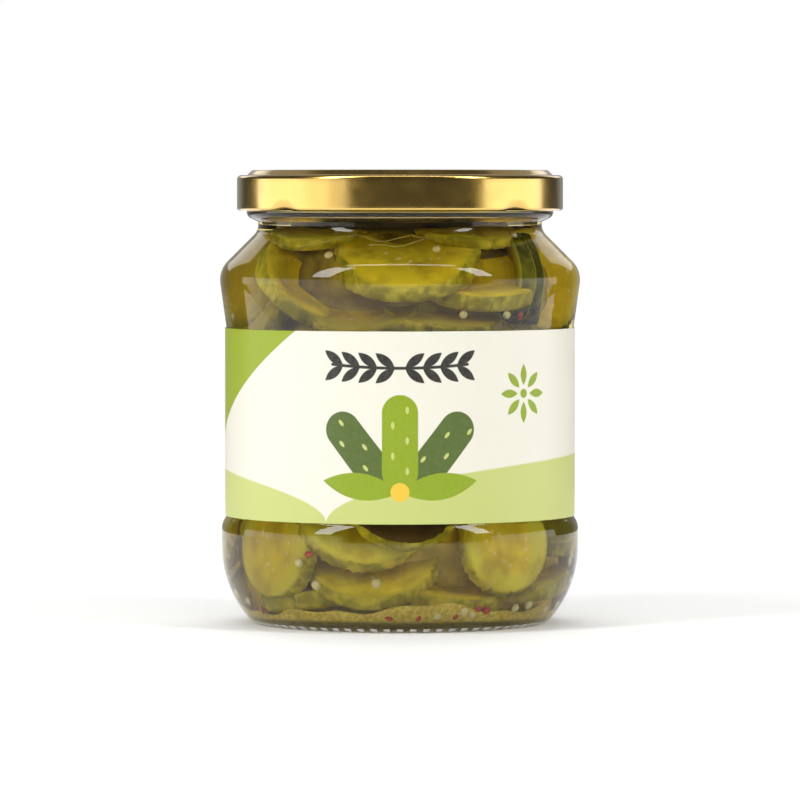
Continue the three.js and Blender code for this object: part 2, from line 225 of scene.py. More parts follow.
def make_piece(name, vertices, faces, paints, slots=None, sharp=40):
    """A smooth shaded mesh piece from vertices in millimetres."""
    mesh = bpy.data.meshes.new(name)
    mesh.from_pydata((np.asarray(vertices) / METRE).tolist(), [], faces)
    for paint in paints:
        mesh.materials.append(paint.material)
    if slots is not None:
        mesh.polygons.foreach_set("material_index", np.asarray(slots, np.int32))
    mesh.polygons.foreach_set("use_smooth", np.ones(len(mesh.polygons), bool))
    mesh.set_sharp_from_angle(angle=math.radians(sharp))
    mesh.update()
    piece = bpy.data.objects.new(name, mesh)
    bpy.context.scene.collection.objects.link(piece)
    return piece


def set_flat(piece, flats):
    """Stores each vertex's flat coordinates for the paints to read."""
    corners = np.zeros(len(piece.data.loops), np.int32)
    piece.data.loops.foreach_get("vertex_index", corners)
    piece.data.uv_layers.new(name="flat").data.foreach_set("uv", flats[corners].ravel())


def place_piece(piece, node=None):
    """Sets a piece on the jar's body and hides the solid it stands for."""
    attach(piece, "root")
    if node:
        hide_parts(node)


class Nodes:
    """Short ways to add nodes to a node tree."""

    def __init__(self, tree):
        self.tree = tree

    def feed(self, socket, value):
        if isinstance(value, bpy.types.NodeSocket):
            self.tree.links.new(value, socket)
        else:
            socket.default_value = value

    def node(self, kind, inputs=(), **settings):
        node = self.tree.nodes.new(kind)
        for name, value in settings.items():
            setattr(node, name, value)
        for socket, value in dict(inputs).items():
            self.feed(node.inputs[socket], value)
        return node

    def math(self, operation, *values):
        return self.node("ShaderNodeMath", enumerate(values), operation=operation).outputs[0]

    def ramp(self, value, low, high, out_low=0.0, out_high=1.0):
        inputs = {"Value": value, "From Min": low, "From Max": high, "To Min": out_low, "To Max": out_high}
        return self.node("ShaderNodeMapRange", inputs, interpolation_type="SMOOTHSTEP").outputs[0]

    def mix(self, share, first, second):
        inputs = {0: share, 6: first, 7: second}
        return self.node("ShaderNodeMix", inputs, data_type="RGBA").outputs[2]

    def minus(self, first, second):
        return self.math("SUBTRACT", first, second)

    def times(self, first, second):
        return self.math("MULTIPLY", first, second)

    def square(self, value):
        return self.math("POWER", value, 2)

    def parts(self, vector):
        return self.node("ShaderNodeSeparateXYZ", {"Vector": vector}).outputs

    def length(self, vector):
        return self.node("ShaderNodeVectorMath", {0: vector}, operation="LENGTH").outputs["Value"]


class Paint(Nodes):
    """A material, with short ways to set its shader."""

    def __init__(self, name, **values):
        self.material = bpy.data.materials.new(name)
        self.material.use_nodes = True
        super().__init__(self.material.node_tree)
        self.shader = self.tree.nodes["Principled BSDF"]
        for socket, value in values.items():
            self.set(socket.replace("_", " "), value)

    def set(self, socket, value):
        self.feed(self.shader.inputs[socket], value)

    def place(self):
        return self.node("ShaderNodeTexCoord").outputs["Object"]

    def flat(self):
        return self.node("ShaderNodeUVMap", uv_map="flat").outputs[0]

    def attribute(self, name):
        return self.node("ShaderNodeAttribute", attribute_name=name).outputs["Fac"]

    def noise(self, scale, detail=3.0, roughness=0.5):
        inputs = {"Vector": self.place(), "Scale": scale, "Detail": detail, "Roughness": roughness}
        return self.node("ShaderNodeTexNoise", inputs).outputs["Fac"]

    def bump(self, height, strength, distance):
        inputs = {"Height": height, "Strength": strength, "Distance": distance}
        self.set("Normal", self.node("ShaderNodeBump", inputs).outputs[0])


def mottled(name, scale, detail, first, second, **values):
    """A paint whose colour wanders between two."""
    paint = Paint(name, **values)
    paint.set("Base Color", paint.mix(paint.noise(scale, detail), first, second))
    return paint


def linear(red, green, blue):
    """A colour given from 0 to 255, as the shaders take it."""
    shares = np.array([red, green, blue]) / 255
    values = np.where(shares <= 0.04045, shares / 12.92, ((shares + 0.055) / 1.055) ** 2.4)
    return (*values.tolist(), 1.0)


# Glass and brine
BRINE_LEVEL = 113
BRINE_EDGE = MOUTH_RADIUS - 0.2  # of the glass at that level
BRINE_OVERLAP = 0.15  # how far the brine reaches into the glass
BRINE_SEGMENTS = 180
# Distance in from the glass and height over the level, along the brine's raised edge
MENISCUS = ((0, 0.8), (0.6, 0.35), (1.6, 0.05), (3, 0))
# Which of the glass's paints a face has
DRY, WET, FROSTED = range(3)


def glass_paint():
    paint = Paint("clear_glass", Base_Color=(0.985, 0.992, 0.985, 1), IOR=1.42, Transmission_Weight=1.0)
    paint.set("Roughness", paint.ramp(paint.noise(18), 0.3, 0.8, 0.0, 0.02))
    paint.bump(paint.noise(55, 1.0), 0.08, 0.0004)
    return paint


def straight_through(name):
    """A clear border that bends no light."""
    return Paint(name, Base_Color=(1, 1, 1, 1), Roughness=0.0, IOR=1.0, Transmission_Weight=1.0)


def brine_paint():
    """Brine, whose bending of light the glass's outside stands for."""
    paint = straight_through("brine")
    absorb = paint.node("ShaderNodeVolumeAbsorption", {"Color": (0.93, 0.8, 0.06, 1), "Density": 28.0})
    paint.feed(paint.tree.nodes["Material Output"].inputs["Volume"], absorb.outputs[0])
    return paint


def frosted_paint():
    """The rough glass of the foot ring's bars."""
    paint = Paint("frosted_glass", Base_Color=(0.92, 0.92, 0.9, 1), IOR=1.42, Transmission_Weight=0.35)
    paint.set("Roughness", paint.ramp(paint.noise(900), 0.3, 0.7, 0.35, 0.6))
    return paint


def on_foot_bar(place):
    """Whether a place on the glass is on one of the foot ring's bars."""
    x, y, height = place
    on_ring = math.hypot(x, y) > FROST_INNER and FROST_LOW < height < FROST_HIGH
    return on_ring and math.cos(FOOT_BARS * math.atan2(x, -y)) > 0


def press_foot_bars(vertices):
    """Lifts the foot ring between its bars."""
    azimuth, radius = polar(vertices)
    between = 0.5 - 0.5 * np.cos(azimuth * FOOT_BARS)
    fade = np.clip(1 - vertices[:, 2] / FOOT_BAR_REACH, 0, 1)
    on_ring = (radius > FOOT_INNER_RADIUS + FOOT_MARGIN) & (vertices[:, 2] < FOOT_BAR_REACH)
    vertices[on_ring, 2] += FOOT_BAR_DEPTH * (between * fade)[on_ring]


def make_glass():
    inside = inside_outline()
    wet = inside[inside[:, 1] < BRINE_LEVEL]
    dry = np.concatenate([outside_outline(), inside[:-len(wet)], points((BRINE_EDGE, BRINE_LEVEL))])
    vertices, faces = turned(np.concatenate([dry, wet, points((0, FLOOR_MIDDLE))]), GLASS_SEGMENTS)
    press_foot_bars(vertices)
    wet_start = (len(dry) - 1) * GLASS_SEGMENTS
    slots = [WET if max(face) >= wet_start and len(face) == 4 else DRY for face in faces]
    slots[-GLASS_SEGMENTS:] = [WET] * GLASS_SEGMENTS
    for i, face in enumerate(faces):
        if on_foot_bar(vertices[face].mean(axis=0)):
            slots[i] = FROSTED
    paints = [glass_paint(), straight_through("wet_glass"), frosted_paint()]
    piece = make_piece("jar_glass", vertices, faces, paints, slots)
    place_piece(piece, "glass_jar")


def make_brine():
    wall = inside_outline(grow=BRINE_OVERLAP)
    wall = wall[wall[:, 1] < BRINE_LEVEL][::-1]
    mouth = MOUTH_RADIUS + BRINE_OVERLAP
    outline = np.concatenate([
        points((0, FLOOR_MIDDLE - BRINE_OVERLAP)),
        wall,
        points(*((mouth - inward, BRINE_LEVEL + rise) for inward, rise in MENISCUS)),
        points((0, BRINE_LEVEL)),
    ])
    vertices, faces = turned(outline, BRINE_SEGMENTS)
    place_piece(make_piece("brine", vertices, faces, [brine_paint()]))


# Lid
LID_LOW, LID_HIGH = (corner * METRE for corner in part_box("lid"))
LID_RADIUS = LID_HIGH.x
LID_TOP = LID_HIGH.z
LID_BOTTOM = LID_LOW.z
LID_STEP = 1.35  # from the ring's top down to the shoulder
LID_SHOULDER = LID_TOP - LID_STEP
LID_SINK = 0.75  # and down to the flat middle
LID_PANEL = LID_TOP - LID_SINK
LID_THICKNESS = 0.35
LID_RING_OUTER = 39.8
LID_RING_INNER = 34.6
LID_SLOPE = 1.4
LID_CORNER = 1.1
LID_CURL = 0.75
LID_SKIRT_LOW = LID_BOTTOM + LID_CURL + 0.8
LID_SKIRT_POINTS = 6
LID_TOP_START = 0.1  # in from where the corner ends
LID_CORNER_STEPS = 8
LID_CURL_STEPS = 20
LID_ROUND = 0.3  # of the ring's edges
LUG_COUNT = 4
LUG_FIRST_AZIMUTH = 45
LUG_WIDTH = 13
LUG_DENT = 0.9
LUG_RISE = 0.6
LUG_HEIGHT = 3.2
LUG_REACH = 3
LUG_EASE = 1.5  # power that fades a dent out up the skirt
LID_SEGMENTS = 288


def rounded(outline, curve, steps=4):
    """The outline with each inner corner drawn as a short curve."""
    rounds = [outline[:1]]
    for before, corner, after in zip(outline, outline[1:], outline[2:]):
        back, onward = before - corner, after - corner
        lengths = np.linalg.norm([back, onward], axis=1)
        reach = min(curve, *lengths / 2)
        start, end = corner + back * reach / lengths[0], corner + onward * reach / lengths[1]
        share = np.linspace(0, 1, steps + 1)[:, None]
        rounds.append((1 - share) ** 2 * start + 2 * share * (1 - share) * corner + share ** 2 * end)
    return np.concatenate([*rounds, outline[-1:]])


def lid_side(depth):
    """One side of the lid's sheet from the skirt to the middle of the top."""
    skirt = columns(
        np.full(LID_SKIRT_POINTS, LID_RADIUS - depth),
        np.linspace(LID_SKIRT_LOW, LID_SHOULDER - LID_CORNER, LID_SKIRT_POINTS),
    )
    top = points(
        (LID_RADIUS - LID_CORNER - LID_TOP_START, LID_SHOULDER),
        (LID_RING_OUTER + LID_SLOPE, LID_SHOULDER),
        (LID_RING_OUTER, LID_TOP),
        (LID_RING_INNER, LID_TOP),
        (LID_RING_INNER - LID_SLOPE, LID_PANEL),
        (0, LID_PANEL),
    ) - (0, depth)
    corner = arc(LID_RADIUS - LID_CORNER, LID_SHOULDER - LID_CORNER, LID_CORNER - depth, 0, 90,
                 LID_CORNER_STEPS)
    return np.concatenate([skirt[:-1], corner, rounded(top, LID_ROUND)])


def press_lugs(vertices):
    """Presses the skirt in and its edge up at each lug."""
    azimuth, radius = polar(vertices)
    turn = azimuth - math.radians(LUG_FIRST_AZIMUTH)
    spacing = 2 * math.pi / LUG_COUNT
    away = np.abs(turn - spacing * np.round(turn / spacing)) * LID_RADIUS
    along = np.where(away < LUG_WIDTH / 2, np.cos(np.pi * away / LUG_WIDTH) ** 2, 0)
    down = np.clip((LID_BOTTOM + LUG_HEIGHT - vertices[:, 2]) / LUG_HEIGHT, 0, 1) ** LUG_EASE
    pressed = np.where(radius > LID_RADIUS - LUG_REACH, along * down, 0)
    vertices[:, :2] *= ((radius - LUG_DENT * pressed) / np.maximum(radius, 1e-9))[:, None]
    vertices[:, 2] += LUG_RISE * pressed


def lid_paint():
    paint = Paint("gold_lacquer", Metallic=1.0, Coat_Weight=1.0, Coat_Roughness=0.14)
    mottle = paint.noise(40, 4.0)
    paint.set("Base Color", paint.mix(mottle, (0.715, 0.467, 0.105, 1), (0.745, 0.493, 0.115, 1)))
    paint.set("Roughness", paint.ramp(paint.noise(160, 5.0), 0.3, 0.7, 0.17, 0.24))
    paint.bump(paint.noise(900, 2.0), 0.03, 0.0002)
    return paint


def lining_paint():
    return mottled("lid_lining", 60, 3.0, (0.03, 0.022, 0.014, 1), (0.05, 0.038, 0.024, 1), Roughness=0.6)


def make_lid():
    inner = lid_side(LID_THICKNESS)[::-1]
    curl = arc(LID_RADIUS - LID_CURL, LID_BOTTOM + LID_CURL, LID_CURL, -270, 0, LID_CURL_STEPS)
    outline = np.concatenate([inner, curl, lid_side(0)])
    vertices, faces = turned(outline, LID_SEGMENTS)
    press_lugs(vertices)
    lined = (len(inner) - 1) * LID_SEGMENTS
    slots = [int(max(face) < lined or face[-1] == len(vertices) - 2) for face in faces]
    piece = make_piece("gold_lid", vertices, faces, [lid_paint(), lining_paint()], slots)
    place_piece(piece, "lid")


# Label
LABEL_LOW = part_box("label")[0].z * METRE
LABEL_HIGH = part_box("label")[1].z * METRE
LABEL_GAP = 0.15
LABEL_THICKNESS = 0.2
LABEL_INNER = PANEL_RADIUS + LABEL_GAP
LABEL_OUTER = LABEL_INNER + LABEL_THICKNESS
LABEL_SEAM = 11
LABEL_SEGMENTS = 360
LABEL_UNIT = 100  # millimetres to one unit of the label's flat coordinates
CREAM = linear(234, 231, 216)
GREEN = linear(148, 166, 8)
PALE_GREEN = linear(197, 205, 120)
LEAF_GREEN = linear(140, 164, 16)
DARK_GREEN = linear(84, 104, 40)
INK = linear(44, 42, 38)
GOLD_INK = linear(236, 196, 60)
# Pale hills: distance of the middle along the label, half the width and the height
HILLS = ((80, 100, 17), (-88, 68, 13.2))
CORNER_START = -29.4  # where the green corner's edge meets the label's top
CORNER_RISE = 0.69  # of that edge, for each millimetre along
GARLAND_HEIGHT = 71
GARLAND_LENGTH = 37
GARLAND_STEM = 0.8
GARLAND_SAG = 1
GARLAND_CURVE = 340  # how gently the leaves' feet rise from the middle
GARLAND_PAIRS = 4  # of leaves on each half
GARLAND_FIRST = 0.3  # of the spacing, from the middle
GARLAND_SPACING = 4.6
GARLAND_LEAF = (6.4, 2.4)
GARLAND_LEAN = 38
BUNCH_FOOT = 37.5
BUNCH_FAN = 38  # turn of the outer gherkins from upright
BUNCH_OUT = 17  # from the foot to a gherkin's middle, if it lay level
BUNCH_UP = 13  # and if it stood upright
BUNCH_GHERKIN = (25, 9.5)
SPOT_SIZE = (1.9, 0.9)
SPOT_COUNT = 5
SPOT_FIRST = 5.5
SPOT_SPACING = 4
SPOT_ASIDE = 1.9
SPOT_STRETCH = 1.3
BUNCH_LEAF = (21, 7)
BUNCH_LEAN = 8
BUNCH_KNOT = 5
ROSETTE_X = 36
ROSETTE_HEIGHT = 63
ROSETTE_LEAVES = 8
ROSETTE_LEAF = (5.6, 2.2)
ROSETTE_INNER = 2.2
ROSETTE_MIDDLE = 2.4


class LabelPaint(Paint):
    """Flat shapes, placed in millimetres along the label from the front and up from the foot."""

    def __init__(self, name, **values):
        super().__init__(name, **values)
        parts = self.parts(self.flat())
        self.along = self.times(parts[0], LABEL_UNIT)
        self.up = self.times(parts[1], LABEL_UNIT)

    def edge(self, distance, soft=0.12):
        """1 where the distance is below zero."""
        return self.ramp(distance, -soft, soft, 1.0, 0.0)

    def hypot(self, first, second):
        return self.math("SQRT", self.math("ADD", self.square(first), self.square(second)))

    def turned_place(self, x, y, turn):
        """Distances from a point, along and across a direction."""
        dx, dy = self.minus(self.along, x), self.minus(self.up, y)
        cos, sin = cos_sin(turn)
        along = self.math("ADD", self.times(dx, cos), self.times(dy, sin))
        return along, self.minus(self.times(dy, cos), self.times(dx, sin))

    def ellipse(self, x, y, width, height, turn=0):
        along, across = self.turned_place(x, y, turn)
        far = self.hypot(self.math("DIVIDE", along, width / 2), self.math("DIVIDE", across, height / 2))
        return self.edge(self.times(self.minus(far, 1), min(width, height) / 2))

    def leaf(self, x, y, length, width, turn):
        """A leaf that starts at a point, with a parabola on either side of its rib."""
        along, across = self.turned_place(x, y, turn)
        share = self.math("DIVIDE", along, length)
        bulge = self.times(self.times(share, self.minus(1, share)), 2 * width)
        return self.edge(self.minus(self.math("ABSOLUTE", across), bulge))

    def capsule(self, x, y, length, width, turn=0, bend=0):
        """A rounded bar, bowed by bend at its middle."""
        along, across = self.turned_place(x, y, turn)
        share = self.math("DIVIDE", along, length / 2)
        across = self.minus(across, self.times(self.minus(1, self.square(share)), bend))
        reach = (length - width) / 2
        past = self.math("MAXIMUM", self.minus(self.math("ABSOLUTE", along), reach), 0)
        return self.edge(self.minus(self.hypot(past, across), width / 2))

    def hill(self, x, half_width, height):
        """A field from the label's foot up to half an ellipse."""
        share = self.math("DIVIDE", self.minus(self.along, x), half_width)
        inside = self.math("MAXIMUM", self.minus(1, self.square(share)), 0)
        top = self.math("ADD", self.times(self.math("SQRT", inside), height), LABEL_LOW)
        return self.edge(self.minus(self.up, top), 0.3)


def garland(paint):
    """A dark stem with leaves on both sides."""
    yield paint.capsule(0, GARLAND_HEIGHT, GARLAND_LENGTH, GARLAND_STEM, 0, -GARLAND_SAG), INK
    for pair in range(GARLAND_PAIRS):
        x = (pair + GARLAND_FIRST) * GARLAND_SPACING
        y = GARLAND_HEIGHT - GARLAND_SAG + x * x / GARLAND_CURVE
        for lean in (-GARLAND_LEAN, GARLAND_LEAN):
            yield paint.leaf(x, y, *GARLAND_LEAF, lean), INK
            yield paint.leaf(-x, y, *GARLAND_LEAF, 180 - lean), INK


def bunch(paint):
    """Three whole gherkins fanned out over two leaves."""
    for turn, shade in ((90 - BUNCH_FAN, DARK_GREEN), (90 + BUNCH_FAN, DARK_GREEN), (90, LEAF_GREEN)):
        cos, sin = cos_sin(turn)
        yield paint.capsule(BUNCH_OUT * cos, BUNCH_FOOT + BUNCH_UP * sin, *BUNCH_GHERKIN, turn), shade
        for step in range(SPOT_COUNT):
            away = SPOT_FIRST + SPOT_SPACING * step
            across = SPOT_ASIDE if step % 2 else -SPOT_ASIDE
            x = away * cos * SPOT_STRETCH - across * sin
            y = BUNCH_FOOT + away * sin + across * cos
            yield paint.ellipse(x, y, *SPOT_SIZE, turn), PALE_GREEN
    for turn in (BUNCH_LEAN, 180 - BUNCH_LEAN):
        yield paint.leaf(0, BUNCH_FOOT, *BUNCH_LEAF, turn), LEAF_GREEN
    yield paint.ellipse(0, BUNCH_FOOT, BUNCH_KNOT, BUNCH_KNOT), GOLD_INK


def rosette(paint):
    """A ring of small leaves."""
    for turn in range(0, 360, 360 // ROSETTE_LEAVES):
        cos, sin = cos_sin(turn)
        x, y = ROSETTE_X + ROSETTE_INNER * cos, ROSETTE_HEIGHT + ROSETTE_INNER * sin
        yield paint.leaf(x, y, *ROSETTE_LEAF, turn), LEAF_GREEN
    yield paint.ellipse(ROSETTE_X, ROSETTE_HEIGHT, ROSETTE_MIDDLE, ROSETTE_MIDDLE), LEAF_GREEN


def label_print(paint):
    """Cream, a green corner, pale hills, and motifs of gherkins and leaves."""
    colour = CREAM
    for hill in HILLS:
        colour = paint.mix(paint.hill(*hill), colour, PALE_GREEN)
    rise = paint.times(paint.minus(paint.along, CORNER_START), CORNER_RISE)
    corner = paint.edge(paint.minus(paint.math("ADD", rise, LABEL_HIGH), paint.up))
    colour = paint.mix(corner, colour, GREEN)
    for motif in (garland, bunch, rosette):
        for shape, shade in motif(paint):
            colour = paint.mix(shape, colour, shade)
    return colour


def label_paint():
    paint = LabelPaint("label_paper", Specular_IOR_Level=0.3, Coat_Weight=0.2, Coat_Roughness=0.22)
    fibres = paint.noise(900, 4.0, 0.65)
    tint = paint.ramp(fibres, 0.2, 0.8, 0.0, 0.05)
    paint.set("Base Color", paint.mix(tint, label_print(paint), (0.7, 0.68, 0.6, 1)))
    paint.set("Roughness", paint.ramp(fibres, 0.3, 0.7, 0.42, 0.5))
    paint.bump(paint.noise(260, 5.0, 0.6), 0.06, 0.0002)
    return paint


def make_label():
    half = math.pi - LABEL_SEAM / 2 / LABEL_OUTER
    azimuths = np.linspace(-half, half, LABEL_SEGMENTS + 1)
    count = len(azimuths)
    outer = [(LABEL_OUTER, LABEL_LOW), (LABEL_OUTER, LABEL_HIGH)]
    inner = [(LABEL_INNER, LABEL_HIGH), (LABEL_INNER, LABEL_LOW)]
    vertices = swept(outer + inner, level_ways(azimuths))
    faces = [[0, count, 2 * count, 3 * count], [4 * count - 1, 3 * count - 1, 2 * count - 1, count - 1]]
    for row in range(4):
        faces += band(row * count, (row + 1) % 4 * count, count)[:-1]
    piece = make_piece("paper_label", vertices, faces, [label_paint()])
    set_flat(piece, columns(np.tile(azimuths * LABEL_OUTER, 4), vertices[:, 2]) / LABEL_UNIT)
    place_piece(piece, "label")


# Gherkin slices, placed as the heap's solid has them
SLICE_THICKNESS = 5
SLICE_RADII = (13, 18)
SLICE_CLEARANCE = 0.45
HEAP_LOW = 9
HEAP_HIGH = 112
SEEDED_HIGH = 100
ROW_SPACING = 10.5
SLICES_PER_ROW = 7
TRIES_PER_SLICE = 16
PLACE_JITTER = 0.4
FACE_TURN = 60
FACE_PITCHES = (-30, 85)
MOST_SHARED_POINTS = 2
HEAP_SEED = 4711
CORE_HIGH = 110
CORE_GAP = 15  # depth of the core where the glass is bare
CORE_HIDDEN_GAP = 6.8  # and behind the label
CORE_HIDDEN_LOW = 36
CORE_HIDDEN_HIGH = 73
CORE_SLOPE = 7
CORE_WAVE = 0.03  # share of its radius that the core's side waves
CORE_RINGS = 60
CORE_SEGMENTS = 120
FIT_POINTS = 12
FIT_STEPS = 16
SHARED_POINTS = 6
SHARED_RINGS = (0.35, 0.7, 1)
DRAW_FACTOR = 16807
DRAW_MODULUS = 2147483647
# Steps of a seeded slice's green and dull from row to row and place to place, and their ranges
GREEN_STEPS = (0.37, 0.61)
GREEN_RANGE = 0.65
DULL_STEPS = (0.53, 0.29)
DULL_RANGE = 0.6

# Azimuth and height of the middle, radius, azimuth and pitch of the face, then how green, and how dull: a
# real duller tone, and painted shade on front slices that lie in shadow, such as the one behind the label's
# lower edge
FRONT_SLICES = (
    (42, 23, 13.4, 34, 6, 0.5, 0.1),
    (-13, 18, 17, -8, 53, 0.3, 0),
    (1, 35.5, 16.5, 4, 33, 0, 1.8),
    (-51, 22, 14, -57, 8, 0.4, 0.5),
    (-46, 11.5, 15, -60, 76, 0.4, 0.3),
    (24, 12.5, 16, 34, 70, 0.1, 0.2),
    (4, 96, 18, 0, 67, 0.1, 0.2),
    (-50, 90, 15.5, 42, 52, 0.2, 0),
    (38, 90.5, 14, 28, 72, 0.1, 0),
    (59, 92.5, 11, -62, 8, 1, 0.3),
    (67, 92, 11, -66, 4, 1, 0.3),
    (90, 92, 14, 40, 12, 0.2, 0),
    (-52, 102, 13.5, -32, 78, 0.45, 0.3),
    (42, 103, 13.5, 20, 76, 0.2, 0.1),
    (20, 83, 15, 30, 70, 0.3, 0.7),
    (-16, 83, 14, -22, 66, 0.4, 0.8),
    (-76, 82, 14, -78, 40, 0.5, 0.9),
    (-88, 90, 14, -60, 25, 0.5, 1),
)

SLICE_SIDES = 84
TEETH = 34
SLICE_MEAN = 0.95  # of the rim, as a share of the radius
TOOTH_HEIGHT = 0.075  # of the largest teeth, as a share of the radius
TOOTH_MIDDLE = 0.6
TOOTH_DRIFT = 0.5  # how far the teeth stray from even spacing, in radians
TOOTH_EVEN = 0.6  # share of the teeth's height that is the same all round
WOBBLES = ((3, 0.014), (2, 0.012))  # slow waves round the rim and their heights
SLICE_WARP = 0.5  # most that a face bends, either way
SKIN_ROUGH = 0.006
SKIN_FROM = 0.96  # share of the radius where the skin starts
# Share of the radius and of half the thickness, from the middle of a face out to the rim
SLICE_PROFILE = (
    (0.2, 0.83), (0.42, 0.84), (0.64, 0.91), (0.82, 0.96), (0.93, 0.93), (0.975, 0.81), (1, 0.43),
)


def seeded_draw(seed):
    """A repeatable stream of numbers from 0 to 1."""
    state = seed
    while True:
        state = state * DRAW_FACTOR % DRAW_MODULUS
        yield state / DRAW_MODULUS


def drawer(seed):
    stream = seeded_draw(seed)
    return lambda low, high: low + (high - low) * next(stream)


def heading(azimuth):
    cos, sin = cos_sin(azimuth)
    return np.array([sin, -cos, 0])


PLAIN_INSIDE = inside_outline(smooth=False)[::-1]


def inside_radius(height):
    return np.interp(height, PLAIN_INSIDE[:, 1], PLAIN_INSIDE[:, 0], left=0, right=0)


def core_radius(height):
    """The core stands back where the glass is bare, so the slices show in depth."""
    low, high = CORE_HIDDEN_LOW - CORE_SLOPE, CORE_HIDDEN_HIGH + CORE_SLOPE
    gap = np.interp(height, [low, CORE_HIDDEN_LOW, CORE_HIDDEN_HIGH, high],
                    [CORE_GAP, CORE_HIDDEN_GAP, CORE_HIDDEN_GAP, CORE_GAP])
    return inside_radius(height) - gap


class Slice:
    def __init__(self, azimuth, height, radius, face_azimuth, face_pitch, green=0.5, dull=0.5):
        pitch = math.radians(face_pitch)
        self.green, self.dull = green, dull
        self.radius = radius
        self.out = heading(azimuth)
        self.face = heading(face_azimuth) * math.cos(pitch) + np.array([0, 0, math.sin(pitch)])
        self.across = heading(face_azimuth + 90)
        self.up = np.cross(self.face, self.across)
        self.centre = np.array([0, 0, height], float)

    def rim_points(self, count, share=1.0):
        """Points on the rims of both faces, about the slice's middle."""
        angles = full_turn(count)
        flat = np.outer(np.cos(angles), self.across) + np.outer(np.sin(angles), self.up)
        side = self.face * SLICE_THICKNESS / 2
        return np.concatenate([flat * self.radius * share + side, flat * self.radius * share - side])

    def press_to_glass(self, highest=HEAP_HIGH):
        """Slides outwards until the rim meets the glass. False where the slice can't fit."""
        rim = self.rim_points(FIT_POINTS) + self.centre

        def fits(depth):
            at = rim + self.out * depth
            room = inside_radius(at[:, 2]) - SLICE_CLEARANCE
            return np.all(at[:, 2] <= highest) and np.all(np.hypot(at[:, 0], at[:, 1]) <= room)

        near, far = 0.0, SHOULDER_RADIUS
        if not fits(near):
            return False
        for _ in range(FIT_STEPS):
            middle = (near + far) / 2
            near, far = (middle, far) if fits(middle) else (near, middle)
        self.centre = self.centre + self.out * near
        return self.reaches_core()

    def reaches_core(self):
        rim = self.rim_points(FIT_POINTS) + self.centre
        low_enough = (rim[:, 2] > HEAP_LOW) & (rim[:, 2] < CORE_HIGH)
        return np.any(low_enough & (np.hypot(rim[:, 0], rim[:, 1]) < core_radius(rim[:, 2])))

    def shared_points(self, other):
        """How many test points of this slice lie inside another."""
        tests = np.concatenate([self.rim_points(SHARED_POINTS, share) for share in SHARED_RINGS])
        offsets = tests + self.centre - other.centre
        through = offsets @ other.face
        outwards = np.sqrt(np.maximum(0, (offsets ** 2).sum(1) - through ** 2))
        return np.count_nonzero((np.abs(through) < SLICE_THICKNESS / 2) & (outwards < other.radius))


def draw_slice(row, place, between):
    """A seeded slice near one place of a row."""
    jitter = between(-PLACE_JITTER, PLACE_JITTER)
    azimuth = 360 / SLICES_PER_ROW * (place + row % 2 / 2 + jitter)
    height = HEAP_LOW + ROW_SPACING * (row + 0.5 + between(-PLACE_JITTER, PLACE_JITTER))
    radius = between(*SLICE_RADII)
    face_azimuth = azimuth + between(-FACE_TURN, FACE_TURN)
    face_pitch = between(*FACE_PITCHES)
    green = (row * GREEN_STEPS[0] + place * GREEN_STEPS[1]) % 1 * GREEN_RANGE
    dull = (row * DULL_STEPS[0] + place * DULL_STEPS[1]) % 1 * DULL_RANGE
    return Slice(azimuth, height, radius, face_azimuth, face_pitch, green, dull)


def best_slice(row, place, between, placed):
    """Of several draws for one place, the slice that runs least into the others."""
    best, least = None, MOST_SHARED_POINTS + 1
    for _ in range(TRIES_PER_SLICE):
        piece = draw_slice(row, place, between)
        if not piece.press_to_glass(SEEDED_HIGH):
            continue
        shared = sum(piece.shared_points(other) for other in placed)
        if shared < least:
            best, least = piece, shared
    return best


def place_slices():
    """Lines the wall with slices: those listed, then seeded ones row by row."""
    between = drawer(HEAP_SEED)
    placed = [piece for piece in (Slice(*place) for place in FRONT_SLICES) if piece.press_to_glass()]
    for row in range(int((SEEDED_HIGH - HEAP_LOW) // ROW_SPACING)):
        for place in range(SLICES_PER_ROW):
            best = best_slice(row, place, between, placed)
            if best:
                placed.append(best)
    return placed


def slice_outline(angles, chance):
    """Share of the radius round a slice's uneven, toothed rim."""
    phases = chance.uniform(0, 2 * np.pi, 4)
    wobbles = zip(WOBBLES, phases)
    wobble = sum(size * np.cos(waves * angles + phase) for (waves, size), phase in wobbles)
    drift = TOOTH_DRIFT * np.sin(3 * angles)
    teeth = np.abs(np.cos(TEETH / 2 * angles + phases[2] + drift)) - TOOTH_MIDDLE
    heights = TOOTH_EVEN + (1 - TOOTH_EVEN) * np.cos(2 * angles + phases[3])
    return SLICE_MEAN + wobble + TOOTH_HEIGHT * teeth * heights


